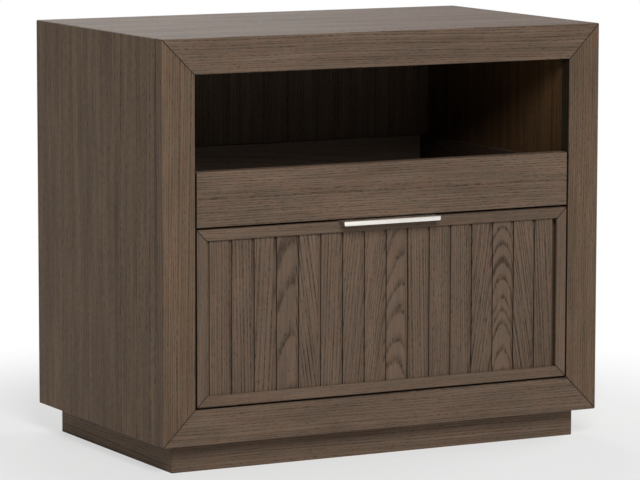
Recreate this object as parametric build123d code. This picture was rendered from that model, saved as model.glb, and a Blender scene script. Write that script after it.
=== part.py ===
from build123d import *
import math
import os

# Nightstand: an open compartment whose floor is a shallow open-topped drawer, over a deep
# drawer with a slatted front. Millimetres, X along the front, Y from front to back, Z up.
# The origin is on the floor, below the middle of the whole outline with its pull.

# Case
case_width = 711.0
case_depth = 426.0
case_height = 614.0
wall = 50.8                # whole thickness of the hollow walls, and width of the face frame
skin = 18.0                # outer panels
liner = 12.0               # inner panels
back_board = 9.0
face_frame_depth = 20.0
batten_width = 40.0
corner_round = 2.0         # eased outside corners
nose_round = 1.5           # eased front edges
seam = 0.5                 # small bevels that show where two boards meet
mitre_over = 2.0           # how far a mitre's cut runs past the board

# Plinth
plinth_height = 41.0
plinth_inset = 25.0
plinth_board = 18.0
corner_block_leg = 62.0
corner_block_drop = 14.0   # floor to the underside of the corner blocks
glide_radius = 13.0
glide_height = 5.0
glide_stem_radius = 4.0
glide_stem_length = 26.0
glide_bevel = 1.25
glide_inset = 21.0         # inside of the plinth to the middle of a glide

# Rail between the two drawers
divider_board = 18.0
divider_depth = 58.0
divider_clearance = 4.0    # behind the drawer fronts, and below the upper drawer box

# Drawer fronts
front_depth = 20.0
side_reveal = 2.4          # gap beside the fronts and below the lower one
between_reveal = 3.0       # gap between the two fronts
upper_front_height = 78.0
lower_front_height = 251.5
front_bevel = 0.8
top_edge_round = 1.6       # upper front's bare top edge

# Slatted lower front
frame_member = 16.0
frame_lip = 4.0            # how far the slats lie behind the frame's face
frame_rebate = 8.0
slat_count = 16
slat_board = 12.0
slat_groove = 5.5
slat_groove_depth = 3.0
slat_tongue = 5.0
slat_lap = 3.0
slat_bevel = 0.6
tongue_play = 0.2

# Drawer boxes
box_board = 12.0
box_bottom = 6.0
box_rear_gap = 8.0         # behind the boxes
upper_box_height = 58.0
upper_box_drop = 10.7      # upper front's top edge to the top of its box
lower_box_lift = 10.0      # lower front's bottom edge to the bottom of its box
lower_box_room = 20.0      # top of the lower box to the rail above it
bottom_lift = 8.0          # box's lower edge to its bottom panel
bottom_groove = 5.0
groove_play = 0.2
tail_spacing = 30.0
tail_share = 0.6           # of the spacing, at a tail's wide end
tail_slope = 1 / 7

# Telescopic runners, between the boxes and the case
runner_gap = 12.7
runner_step = 50.0         # the lengths they are sold in differ by this
runner_rear_gap = 10.0     # least room behind them
runner_setback = 6.0       # front of the case panels to the front of the runners
runner_gauge = 1.2
runner_bend = 1.0
runner_ball = 3.2
ball_play = 0.05
middle_web = 3.0           # liner to the web of the middle member
outer_reach = 9.8          # liner to the middle of the outer member's lips
middle_reach = 10.6        # liner to the middle of the middle member's lips
inner_reach = 5.6          # liner to the free edges of the inner member
outer_lip = 2.2
middle_lip = 1.9
upper_runner_height = 35.0
upper_runner_lift = 25.0   # box's lower edge to the middle of the runner
lower_runner_height = 45.0
lower_runner_lift = 70.0
cage_length = 96.0
cage_width = 4.4
cage_play = 0.3            # between a cage and the lip beside it

# Tab pull on the lower front's top edge
pull_length = 157.0
pull_projection = 19.0
pull_gauge = 1.5
pull_lip = 6.6
pull_flange = 13.0
pull_round = 1.2

# Pan-head screws, which like the glides and their holes have few sides
screw_head_radius = 3.0
screw_head = 1.3
screw_radius = 1.5
screw_play = 0.1
screw_facets = 6
back_screw_x_count = 3
back_screw_z_count = 4
back_screw_length = 25.0
runner_screw_length = 20.0
member_screw_length = 9.0
front_screw_length = 22.0
pull_screw_length = 11.0
runner_screw_inset = 40.0
pull_screw_inset = 20.0
front_screw_inset = 48.0   # side of the upper box to the screws in its front
upper_screw_edge = 9.0     # floor and top edge of the box to the screws in its front
lower_screw_edge = 18.0

# Places worked out from the sizes
half_width = case_width / 2
front_y = (pull_projection - case_depth) / 2
rear_y = front_y + case_depth
panel_y = front_y + face_frame_depth
back_y = rear_y - back_board
skin_x = half_width - skin
open_x = half_width - wall
liner_x = open_x + liner
low_z = plinth_height
high_z = case_height
open_low = low_z + wall
open_high = high_z - wall
case_middle_z = (low_z + high_z) / 2

front_half_width = open_x - side_reveal
box_y = front_y + front_depth
box_half_width = open_x - runner_gap
box_rear_y = back_y - box_rear_gap
lower_front_low = open_low + side_reveal
lower_front_high = lower_front_low + lower_front_height
upper_front_low = lower_front_high + between_reveal
upper_front_high = upper_front_low + upper_front_height
upper_box_high = upper_front_high - upper_box_drop
upper_box_low = upper_box_high - upper_box_height
lower_box_low = lower_front_low + lower_box_lift
divider_high = upper_box_low - divider_clearance
divider_low = divider_high - divider_board
lower_box_high = divider_low - lower_box_room
upper_runner_z = upper_box_low + upper_runner_lift
lower_runner_z = lower_box_low + lower_runner_lift
runner_y = panel_y + runner_setback
runner_room = back_y - runner_rear_gap - runner_y
runner_length = math.floor(runner_room / runner_step) * runner_step

shown_half_width = front_half_width - frame_member
slat_pitch = (2 * shown_half_width - slat_groove) / slat_count
slat_width = slat_pitch - slat_groove


def block(x, y, z):
    # A square-cornered board between two values on each axis.
    middle = Pos((x[0] + x[1]) / 2, (y[0] + y[1]) / 2, (z[0] + z[1]) / 2)
    return middle * Box(x[1] - x[0], y[1] - y[0], z[1] - z[0])


def edges_at(piece, axis, **place):
    # The edges along an axis whose middle is at the given coordinates.
    def fits(edge):
        middle = edge.center()
        return all(abs(getattr(middle, name) - value) < 0.01 for name, value in place.items())
    return ShapeList(edge for edge in piece.edges().filter_by(axis) if fits(edge))


def group(pieces):
    # Separate solids that share one name.
    return Compound(children=[solid for piece in pieces for solid in piece.solids()])


def carry(outline, plane, depth):
    # An outline of points on a plane, carried along the plane's normal.
    return extrude(plane * Polygon(*outline, align=None), depth, dir=plane.z_dir)


def ring(plane, width, height, member, depth):
    # A rectangular ring centred on a plane, with rounded outside corners.
    outside = extrude(plane * RectangleRounded(width, height, corner_round), depth, dir=plane.z_dir)
    inside = plane * Rectangle(width - 2 * member, height - 2 * member)
    return outside - extrude(inside, depth, dir=plane.z_dir)


def face_edges(body, plane):
    # The outside and inside edges of the ring's face that lies on the plane.
    face = body.faces().sort_by(lambda f: abs((f.center() - plane.origin).dot(plane.z_dir)))[0]
    return face.outer_wire().edges(), face.inner_wires()[0].edges()


def mitre(body, plane, width, height, member, depth):
    # The ring cut at its four corners into a board for each side.
    outer_a, outer_b = width / 2 + mitre_over, height / 2 + mitre_over
    inner_a, inner_b = outer_a - member - 2 * mitre_over, outer_b - member - 2 * mitre_over
    wedges = {
        "top": [(-outer_a, outer_b), (outer_a, outer_b), (inner_a, inner_b), (-inner_a, inner_b)],
        "bottom": [(-outer_a, -outer_b), (outer_a, -outer_b), (inner_a, -inner_b), (-inner_a, -inner_b)],
        "left": [(-outer_a, -outer_b), (-outer_a, outer_b), (-inner_a, inner_b), (-inner_a, -inner_b)],
        "right": [(outer_a, -outer_b), (outer_a, outer_b), (inner_a, inner_b), (inner_a, -inner_b)],
    }
    return {name: body & carry(points, plane, depth) for name, points in wedges.items()}


def score_mitres(body, plane, width, height, member):
    # A fine V-shaped line along each of the ring's four mitres, on the face that shows.
    length = (member + mitre_over) * math.sqrt(2)
    for side in (-1, 1):
        for rise in (-1, 1):
            spot = Pos(side * (width - member) / 2, rise * (height - member) / 2)
            turn = Rot(0, 0, side * rise * 45) * Rot(45, 0, 0)
            body -= plane * spot * turn * Box(length, seam, seam)
    return body


def elevation(y, z):
    # The front view's plane at a depth and a height; its normal points forwards.
    return Plane(origin=(0, y, z), x_dir=(1, 0, 0), z_dir=(0, -1, 0))


def along_z(outline, low, high):
    # An outline of (x, y) points carried from one height to another.
    return carry(outline, Plane.XY.offset(low), high - low)


def along_x(outline, left, right):
    # An outline of (y, z) points carried from left to right.
    return carry(outline, Plane.YZ.offset(left), right - left)


def shaft(radius, length):
    # A faceted bar that stands on the origin.
    return extrude(RegularPolygon(radius, screw_facets), length)


def screw(place, length):
    # A pan-head screw whose head bears on the given point, driven along the given direction.
    point, direction = place
    seat = Plane(point, z_dir=direction)
    head = seat * Pos(0, 0, -screw_head) * shaft(screw_head_radius, screw_head)
    return head + seat * shaft(screw_radius, length)


def drill(piece, places, length):
    # Screw holes, a little wider and deeper than the screws.
    hole = shaft(screw_radius + screw_play, length + 2 * screw_play)
    for point, direction in places:
        piece -= Plane(point, z_dir=direction) * hole
    return piece


def spread(low, high, count):
    # Evenly spaced values, both ends included.
    return [low + (high - low) * i / (count - 1) for i in range(count)]


# Where the screws go

def back_screws():
    x = skin_x - (wall - skin - liner) / 2
    low, high = low_z + wall / 2, high_z - wall / 2
    rows = [(u, z) for z in (low, high) for u in spread(-x, x, back_screw_x_count)]
    sides = [(side * x, z) for side in (-1, 1) for z in spread(low, high, back_screw_z_count)[1:-1]]
    return [((u, rear_y - screw_head, z), (0, -1, 0)) for u, z in rows + sides]


def runner_screws(side, z):
    # Through the outer member and the liner into the batten behind it.
    ends = runner_y + runner_screw_inset, runner_y + runner_length - runner_screw_inset
    return [((side * (open_x - runner_gauge), y, z), (side, 0, 0)) for y in ends]


def all_runner_screws():
    heights = upper_runner_z, lower_runner_z
    return [place for side in (-1, 1) for z in heights for place in runner_screws(side, z)]


def member_screws(side, z):
    # Through the inner member into the side of the drawer box.
    ends = runner_y + runner_screw_inset, runner_y + runner_length - runner_screw_inset
    x = side * (box_half_width + runner_gauge)
    return [((x, y, z), (-side, 0, 0)) for y in ends]


def slat_left(i):
    return slat_groove - shown_half_width + i * slat_pitch


def front_screws(x, low, high):
    # From inside the box through its front board into the drawer front.
    return [((u, box_y + box_board, z), (0, -1, 0)) for u in (-x, x) for z in (low, high)]


def pull_screws():
    x = pull_length / 2 - pull_screw_inset
    y, z = box_y + pull_gauge, lower_front_high - frame_rebate / 2
    return [((u, y, z), (0, -1, 0)) for u in (-x, x)]


upper_front_screws = front_screws(
    box_half_width - front_screw_inset,
    upper_box_low + bottom_lift + box_bottom + upper_screw_edge,
    upper_box_high - upper_screw_edge,
)
lower_front_screws = front_screws(
    slat_left(slat_count - 2) + slat_width / 2,
    lower_box_low + bottom_lift + box_bottom + lower_screw_edge,
    lower_box_high - lower_screw_edge,
)


# Case

def case_panels():
    plane = elevation(panel_y, case_middle_z)
    height, depth = high_z - low_z, case_depth - face_frame_depth
    body = ring(plane, case_width, height, skin, -depth)
    body = chamfer(face_edges(body, plane)[0], seam)
    boards = mitre(body, plane, case_width, height, skin, -depth)
    return {
        "top_panel": boards["top"],
        "base_panel": boards["bottom"],
        "left_side_panel": boards["left"],
        "right_side_panel": boards["right"],
    }


def face_frame():
    plane = elevation(front_y, case_middle_z)
    height = high_z - low_z
    body = ring(plane, case_width, height, wall, -face_frame_depth)
    body = fillet(face_edges(body, plane)[0], nose_round)
    body = chamfer(face_edges(body, plane)[1], front_bevel)
    body = chamfer(face_edges(body, elevation(panel_y, case_middle_z))[0], seam)
    body = score_mitres(body, plane, case_width, height, wall)
    boards = mitre(body, plane, case_width, height, wall, -face_frame_depth)
    return {
        "face_frame_top_rail": boards["top"],
        "face_frame_bottom_rail": boards["bottom"],
        "face_frame_left_stile": boards["left"],
        "face_frame_right_stile": boards["right"],
    }


def lining():
    y = panel_y, back_y
    runners = runner_screws(1, upper_runner_z) + runner_screws(1, lower_runner_z)
    others = runner_screws(-1, upper_runner_z) + runner_screws(-1, lower_runner_z)
    right = block((open_x, liner_x), y, (open_low, open_high))
    left = block((-liner_x, -open_x), y, (open_low, open_high))
    return {
        "ceiling_panel": block((-liner_x, liner_x), y, (open_high, open_high + liner)),
        "floor_panel": block((-liner_x, liner_x), y, (open_low - liner, open_low)),
        "right_liner_panel": drill(right, runners, runner_screw_length),
        "left_liner_panel": drill(left, others, runner_screw_length),
    }


def core_battens():
    # Softwood strips that space the liners from the outer panels and take the screws.
    front = panel_y, panel_y + batten_width
    rear = back_y - batten_width, back_y
    centre = (panel_y + back_y - batten_width) / 2
    middle = centre, centre + batten_width
    pieces = []
    for y in (front, middle, rear):
        pieces.append(block((-skin_x, skin_x), y, (open_high + liner, high_z - skin)))
        pieces.append(block((-skin_x, skin_x), y, (low_z + skin, open_low - liner)))
    for side in (-1, 1):
        x = sorted((side * liner_x, side * skin_x))
        for y in (front, rear):
            pieces.append(block(x, y, (open_low - liner, open_high + liner)))
        for z in (upper_runner_z, lower_runner_z):
            rail = block(x, (front[1], rear[0]), (z - batten_width / 2, z + batten_width / 2))
            pieces.append(rail)
    places = all_runner_screws()
    drilled = [drill(piece, places, runner_screw_length) for piece in pieces]
    return {"core_battens": group(drill(piece, back_screws(), back_screw_length) for piece in drilled)}


def back():
    # The screw heads are sunk flush in the rear of the board.
    board = block((-skin_x, skin_x), (back_y, rear_y), (low_z + skin, high_z - skin))
    sink = Pos(0, 0, -screw_head) * shaft(screw_head_radius + screw_play, screw_head)
    for point, direction in back_screws():
        board -= Plane(point, z_dir=direction) * sink
    return {
        "back_panel": drill(board, back_screws(), back_screw_length),
        "back_panel_screws": group(screw(place, back_screw_length) for place in back_screws()),
    }


def divider():
    y = box_y + divider_clearance
    rail = block((-open_x, open_x), (y, y + divider_depth), (divider_low, divider_high))
    return {"divider_rail": rail}


def plinth():
    width, depth = case_width - 2 * plinth_inset, case_depth - 2 * plinth_inset
    middle_y = (front_y + rear_y) / 2
    plane = Plane(origin=(0, middle_y, 0))
    boards = mitre(
        ring(plane, width, depth, plinth_board, plinth_height),
        plane, width, depth, plinth_board, plinth_height,
    )
    blocks, glides = [], []
    x, y = width / 2 - plinth_board, depth / 2 - plinth_board
    for side in (-1, 1):
        for end in (-1, 1):
            corner = side * x, middle_y + end * y
            along = corner[0] - side * corner_block_leg, corner[1]
            across = corner[0], corner[1] - end * corner_block_leg
            spot = Pos(corner[0] - side * glide_inset, corner[1] - end * glide_inset)
            stem_top = glide_height + glide_stem_length
            hole = spot * shaft(glide_stem_radius + screw_play, stem_top + 2 * screw_play)
            blocks.append(along_z([corner, along, across], corner_block_drop, plinth_height) - hole)
            foot = shaft(glide_radius, glide_height)
            foot = chamfer(foot.faces().sort_by(Axis.Z)[-1].edges(), glide_bevel)
            glides.append(spot * (foot + shaft(glide_stem_radius, stem_top)))
    return {
        "plinth_rear": boards["top"],
        "plinth_front": boards["bottom"],
        "plinth_left": boards["left"],
        "plinth_right": boards["right"],
        "plinth_corner_blocks": group(blocks),
        "levelling_glides": group(glides),
    }


# Runners

def channel(side, z, web, reach, half, lip):
    # A bent-sheet channel: web and reach are distances from the liner to the sheet's middle,
    # half is half the height between the middles of its flanges, and lips turn inwards.
    points = [(reach, half), (web, half), (web, -half), (reach, -half)]
    if lip:
        points = [(reach, half - lip), *points, (reach, lip - half)]
    path = FilletPolyline(*[(side * (open_x - u), z + w) for u, w in points], radius=runner_bend)
    sheet = elevation(runner_y, 0) * trace(path, runner_gauge)
    return extrude(sheet, runner_length, dir=(0, 1, 0))


def runner(name, side, height, z):
    outer_half = (height - runner_gauge) / 2
    middle_half = outer_half - runner_gauge - runner_ball
    inner_half = middle_half - runner_gauge - runner_ball
    sheet = runner_gauge / 2
    outer = channel(side, z, sheet, outer_reach, outer_half, outer_lip)
    middle = channel(side, z, middle_web + sheet, middle_reach, middle_half, middle_lip)
    inner = channel(side, z, runner_gap - sheet, inner_reach, inner_half, 0)
    return {
        f"{name}_runner_outer": drill(outer, runner_screws(side, z), runner_screw_length),
        f"{name}_runner_middle": middle,
        f"{name}_runner_inner": drill(inner, member_screws(side, z), member_screw_length),
    }


def ball_cages(height, z):
    # Plastic strips, as thick as the balls they hold, between the flanges of the members.
    beside_lip = (runner_gauge + cage_width) / 2 + cage_play
    outer_row = height / 2 - runner_gauge - runner_ball / 2
    inner_row = outer_row - runner_ball - runner_gauge
    rows = {outer_row: outer_reach - beside_lip, inner_row: middle_reach - beside_lip}
    y = runner_y + (runner_length - cage_length) / 2
    half = runner_ball / 2 - ball_play
    strips = []
    for side in (-1, 1):
        for row, reach in rows.items():
            x = sorted(side * (open_x - u) for u in (reach - cage_width / 2, reach + cage_width / 2))
            for w in (z - row, z + row):
                strips.append(block(x, (y, y + cage_length), (w - half, w + half)))
    return group(strips)


# Drawers

def tails(low, high, end, inward):
    # Dovetail outlines in (y, z) at a board's end; inward is the direction to its middle.
    count = max(2, round((high - low) / tail_spacing))
    spacing = (high - low) / count
    wide = spacing * tail_share / 2
    narrow = wide - box_board * tail_slope
    shoulder = end + inward * box_board
    middles = [low + spacing * (i + 0.5) for i in range(count)]
    return [
        [(end, z - wide), (end, z + wide), (shoulder, z + narrow), (shoulder, z - narrow)]
        for z in middles
    ]


def drawer_box(name, low, high, fixing, runner_z):
    x_in = box_half_width - box_board
    y_in = box_y + box_board, box_rear_y - box_board
    bottom_low = low + bottom_lift
    reach = bottom_groove - groove_play
    bottom = block(
        (-x_in - reach, x_in + reach),
        (y_in[0] - reach, y_in[1] + reach),
        (bottom_low, bottom_low + box_bottom),
    )
    groove = block(
        (-x_in - bottom_groove, x_in + bottom_groove),
        (y_in[0] - bottom_groove, y_in[1] + bottom_groove),
        (bottom_low, bottom_low + box_bottom + groove_play),
    )
    outlines = tails(low, high, box_y, 1) + tails(low, high, box_rear_y, -1)
    ends = {
        "box_front": block((-box_half_width, box_half_width), (box_y, y_in[0]), (low, high)),
        "back": block((-box_half_width, box_half_width), (y_in[1], box_rear_y), (low, high)),
    }
    boards = {}
    for side, word in ((-1, "left"), (1, "right")):
        x = sorted((side * x_in, side * box_half_width))
        board = block(x, y_in, (low, high))
        for outline in outlines:
            tail = along_x(outline, *x)
            board += tail
            ends = {end: piece - tail for end, piece in ends.items()}
        board = drill(board - groove, member_screws(side, runner_z), member_screw_length)
        boards[f"{name}_drawer_{word}_side"] = board
    boards[f"{name}_drawer_box_front"] = drill(ends["box_front"] - groove, fixing, front_screw_length)
    boards[f"{name}_drawer_back"] = ends["back"] - groove
    boards[f"{name}_drawer_bottom"] = bottom
    return boards


def upper_front():
    x = -front_half_width, front_half_width
    y = front_y, box_y
    board = block(x, y, (upper_front_low, upper_front_high))
    top = edges_at(board, Axis.X, Z=upper_front_high)
    board = fillet(top, top_edge_round)
    rest = edges_at(board, Axis.X, Z=upper_front_low, Y=front_y) + edges_at(board, Axis.Z, Y=front_y)
    board = chamfer(rest, front_bevel)
    return {"upper_drawer_front": drill(board, upper_front_screws, front_screw_length)}


def lower_front():
    height = lower_front_high - lower_front_low
    plane = elevation(front_y, (lower_front_low + lower_front_high) / 2)
    width = 2 * front_half_width
    x = front_half_width - frame_member + frame_rebate
    z = lower_front_low + frame_member - frame_rebate, lower_front_high - frame_member + frame_rebate
    body = ring(plane, width, height, frame_member, -front_depth)
    body = chamfer(face_edges(body, plane)[0], front_bevel)
    body = chamfer(face_edges(body, plane)[1], front_bevel)
    body -= block((-x, x), (front_y + frame_lip, box_y), z)
    body = score_mitres(body, plane, width, height, frame_member)
    boards = mitre(body, plane, width, height, frame_member, -front_depth)
    backing = block((-x, x), (front_y + frame_lip + slat_board, box_y), z)
    screws = lower_front_screws
    return {
        "lower_front_top_rail": drill(boards["top"], pull_screws(), pull_screw_length),
        "lower_front_bottom_rail": boards["bottom"],
        "lower_front_left_stile": boards["left"],
        "lower_front_right_stile": boards["right"],
        "lower_front_backing": drill(backing, screws, front_screw_length),
        "lower_front_slats": group(drill(slat, screws, front_screw_length) for slat in slats(x, *z)),
    }


def slats(end_x, low, high):
    # Tongued boards whose faces stand apart, so that each tongue is the floor of a groove.
    face = front_y + frame_lip
    rear = face + slat_board
    tongue = face + slat_groove_depth, face + slat_groove_depth + slat_tongue
    boards = []
    for i in range(slat_count):
        left = slat_left(i)
        right = left + slat_width
        joint = left - slat_groove
        tip = joint - slat_lap if i else -end_x
        slot = right - slat_lap - tongue_play
        outline = [(left + slat_bevel, face), (right - slat_bevel, face), (right, face + slat_bevel)]
        if i < slat_count - 1:
            outline += [(right, tongue[0]), (slot, tongue[0]), (slot, tongue[1]), (right, tongue[1])]
            outline += [(right, rear)]
        else:
            outline += [(right, tongue[0]), (end_x, tongue[0]), (end_x, rear)]
        if i:
            outline += [(joint, rear), (joint, tongue[1]), (tip, tongue[1]), (tip, tongue[0])]
        else:
            outline += [(tip, rear), (tip, tongue[0])]
        outline += [(left, tongue[0]), (left, face + slat_bevel)]
        boards.append(along_z(outline, low, high))
    return boards


def pull():
    # A flange behind the front, a plate over its top edge and a lip hanging before its face.
    top = lower_front_high + pull_gauge
    lip_y = front_y - pull_projection
    flange_y = box_y + pull_gauge
    outline = [
        (lip_y, top), (flange_y, top), (flange_y, lower_front_high - pull_flange),
        (box_y, lower_front_high - pull_flange), (box_y, lower_front_high),
        (lip_y + pull_gauge, lower_front_high), (lip_y + pull_gauge, top - pull_lip),
        (lip_y, top - pull_lip),
    ]
    piece = along_x(outline, -pull_length / 2, pull_length / 2)
    bends = edges_at(piece, Axis.X, Y=lip_y, Z=top) + edges_at(piece, Axis.X, Y=flange_y, Z=top)
    piece = fillet(bends, pull_round)
    tips = edges_at(piece, Axis.Y, Z=top - pull_lip)
    piece = fillet(tips, pull_round)
    return {
        "tab_pull": drill(piece, pull_screws(), pull_screw_length),
        "pull_screws": group(screw(place, pull_screw_length) for place in pull_screws()),
    }


def fasteners(name, z, fixing):
    sides = member_screws(-1, z) + member_screws(1, z)
    members = [screw(place, member_screw_length) for place in sides]
    fronts = [screw(place, front_screw_length) for place in fixing]
    return {f"{name}_drawer_screws": group(members + fronts)}


pieces = {}
pieces.update(case_panels())
pieces.update(face_frame())
pieces.update(lining())
pieces.update(core_battens())
pieces.update(back())
pieces.update(divider())
pieces.update(plinth())
for storey, height, z in (
    ("upper", upper_runner_height, upper_runner_z),
    ("lower", lower_runner_height, lower_runner_z),
):
    pieces.update(runner(f"{storey}_left", -1, height, z))
    pieces.update(runner(f"{storey}_right", 1, height, z))
    pieces[f"{storey}_runner_ball_cages"] = ball_cages(height, z)
pieces["runner_screws"] = group(screw(place, runner_screw_length) for place in all_runner_screws())
pieces.update(upper_front())
pieces.update(drawer_box("upper", upper_box_low, upper_box_high, upper_front_screws, upper_runner_z))
pieces.update(fasteners("upper", upper_runner_z, upper_front_screws))
pieces.update(lower_front())
pieces.update(drawer_box("lower", lower_box_low, lower_box_high, lower_front_screws, lower_runner_z))
pieces.update(fasteners("lower", lower_runner_z, lower_front_screws))
pieces.update(pull())

os.makedirs("parts", exist_ok=True)
for name, piece in pieces.items():
    export_step(piece, f"parts/{name}.step")
print(len(pieces), "pieces")
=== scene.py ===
import bpy
import bmesh
import math
from mathutils import Matrix, Vector


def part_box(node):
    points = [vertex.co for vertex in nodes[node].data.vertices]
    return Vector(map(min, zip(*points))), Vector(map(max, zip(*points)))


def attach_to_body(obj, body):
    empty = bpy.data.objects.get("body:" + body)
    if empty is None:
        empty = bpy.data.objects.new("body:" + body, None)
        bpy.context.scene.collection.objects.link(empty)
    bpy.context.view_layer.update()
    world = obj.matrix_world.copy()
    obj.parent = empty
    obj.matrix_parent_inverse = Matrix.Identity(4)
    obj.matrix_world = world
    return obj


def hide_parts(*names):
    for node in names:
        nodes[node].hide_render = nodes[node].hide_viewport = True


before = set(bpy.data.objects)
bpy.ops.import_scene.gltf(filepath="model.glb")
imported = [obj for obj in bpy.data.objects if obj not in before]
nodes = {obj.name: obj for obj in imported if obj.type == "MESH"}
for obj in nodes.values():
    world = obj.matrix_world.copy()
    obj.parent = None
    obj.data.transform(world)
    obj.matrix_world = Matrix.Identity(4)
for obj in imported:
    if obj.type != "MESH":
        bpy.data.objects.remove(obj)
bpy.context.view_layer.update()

scene = bpy.context.scene
weldDistance = 0.000001
print("frame loaded:", len(nodes), "nodes")


# Small helpers for node trees. Most take sockets or plain values and give back a socket.

def feed(tree, value, socket):
    if isinstance(value, bpy.types.NodeSocket):
        tree.links.new(value, socket)
    elif isinstance(value, (tuple, list)) and len(value) == 3 and socket.type == "RGBA":
        socket.default_value = (*value, 1)
    else:
        socket.default_value = value


def calc(tree, operation, a, b=0.0, c=0.0):
    made = tree.nodes.new("ShaderNodeMath")
    made.operation = operation
    for value, socket in zip((a, b, c), made.inputs):
        feed(tree, value, socket)
    return made.outputs[0]


def remap(tree, value, fromLow, fromHigh, toLow, toHigh, smooth=True):
    made = tree.nodes.new("ShaderNodeMapRange")
    made.interpolation_type = "SMOOTHSTEP" if smooth else "LINEAR"
    for each, socket in zip((value, fromLow, fromHigh, toLow, toHigh), made.inputs):
        feed(tree, each, socket)
    return made.outputs[0]


def spread(tree, value, low, high):
    # stretches the span in which most of a noise lies
    return remap(tree, value, 0.3, 0.7, low, high, smooth=False)


def measure(tree, operation, a, b=(0.0, 0.0, 0.0)):
    made = tree.nodes.new("ShaderNodeVectorMath")
    made.operation = operation
    feed(tree, a, made.inputs[0])
    feed(tree, b, made.inputs["Scale"] if operation == "SCALE" else made.inputs[1])
    return made.outputs["Value" if operation in ("LENGTH", "DOT_PRODUCT") else "Vector"]


def join(tree, x=0.0, y=0.0, z=0.0):
    made = tree.nodes.new("ShaderNodeCombineXYZ")
    for value, socket in zip((x, y, z), made.inputs):
        feed(tree, value, socket)
    return made.outputs[0]


def split(tree, vector):
    made = tree.nodes.new("ShaderNodeSeparateXYZ")
    tree.links.new(vector, made.inputs[0])
    return made.outputs


def mixColour(tree, factor, a, b, mode="MIX"):
    made = tree.nodes.new("ShaderNodeMix")
    made.data_type = "RGBA"
    made.blend_type = mode
    feed(tree, factor, made.inputs["Factor"])
    feed(tree, a, made.inputs[6])
    feed(tree, b, made.inputs[7])
    return made.outputs[2]


def noise(tree, place, size, detail=2.0, rough=0.5):
    # size is one noise cell's length along each axis
    made = tree.nodes.new("ShaderNodeTexNoise")
    tree.links.new(measure(tree, "DIVIDE", place, size), made.inputs["Vector"])
    made.inputs["Scale"].default_value = 1.0
    made.inputs["Detail"].default_value = detail
    made.inputs["Roughness"].default_value = rough
    return made.outputs["Fac"]


def objectPlace(tree):
    return tree.nodes.new("ShaderNodeTexCoord").outputs["Object"]


def addBump(tree, shader, height, strength=1.0):
    bump = tree.nodes.new("ShaderNodeBump")
    bump.inputs["Strength"].default_value = strength
    bump.inputs["Distance"].default_value = 1.0
    tree.links.new(height, bump.inputs["Height"])
    tree.links.new(bump.outputs[0], shader.inputs["Normal"])


def newMaterial(name):
    material = bpy.data.materials.new(name)
    material.use_nodes = True
    tree = material.node_tree
    shader = next(n for n in tree.nodes if n.type == "BSDF_PRINCIPLED")
    return material, tree, shader


def newGroup(name, kind, inputs, outputs):
    tree = bpy.data.node_groups.new(name, kind)
    for label, socketType, value in inputs:
        made = tree.interface.new_socket(label, in_out="INPUT", socket_type=socketType)
        if value is not None:
            made.default_value = value
    for label, socketType in outputs:
        tree.interface.new_socket(label, in_out="OUTPUT", socket_type=socketType)
    return tree, tree.nodes.new("NodeGroupInput").outputs, tree.nodes.new("NodeGroupOutput").inputs


# Camera, as the photograph was taken: from the front left, a little above the top

camera = {
    "place": (-2.6062, -4.8837, 1.0107),
    "turnDegrees": 28.093,
    "dipDegrees": 7.408,
    "rollDegrees": 0.097,
    "lens": 212.25,
    "sensor": 36.0,
    "clipEnd": 100.0,
}


def makeCamera():
    lens = bpy.data.cameras.new("photoCamera")
    lens.lens = camera["lens"]
    lens.sensor_width = camera["sensor"]
    lens.clip_end = camera["clipEnd"]
    holder = bpy.data.objects.new("photoCamera", lens)
    scene.collection.objects.link(holder)
    turn, dip = math.radians(camera["turnDegrees"]), math.radians(camera["dipDegrees"])
    upright = Matrix.Rotation(-turn, 4, "Z") @ Matrix.Rotation(math.pi / 2 - dip, 4, "X")
    roll = Matrix.Rotation(math.radians(camera["rollDegrees"]), 4, "Z")
    holder.matrix_world = Matrix.Translation(camera["place"]) @ upright @ roll
    scene.camera = holder


# Studio: pale floor, soft lamps and a white surround that lights little but is seen as white

studio = {
    "ambient": 0.06,
    "floorColour": (0.90, 0.90, 0.90),
    "floorRoughness": 0.9,
    "floorGloss": 0.1,
    "floorHalf": 40.0,
    "nearWhite": 0.55,        # share of white in the floor beside the object
    "fadeStart": 0.45,        # distances from the origin
    "fadeEnd": 1.0,
    "lamps": [
        # name, place, aimed at, size, watts
        ("keyLamp", (-1.2, -3.9, 3.0), (0.0, 0.0, 0.3), 1.8, 142),
        ("lowLamp", (0.5, -4.5, 0.8), (0.0, 0.0, 0.3), 2.0, 8),
        ("rearLamp", (0.6, 3.2, 2.6), (0.0, 0.0, 0.4), 2.5, 48),
        ("sideLamp", (3.6, 0.7, 1.8), (0.0, 0.1, 0.3), 2.0, 55),
    ],
}


def seenDirectly(tree):
    # 1 for camera, mirror and glass rays, else 0
    path = tree.nodes.new("ShaderNodeLightPath")
    glossy = calc(tree, "MAXIMUM", path.outputs["Is Camera Ray"], path.outputs["Is Glossy Ray"])
    return calc(tree, "MAXIMUM", glossy, path.outputs["Is Transmission Ray"])


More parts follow.
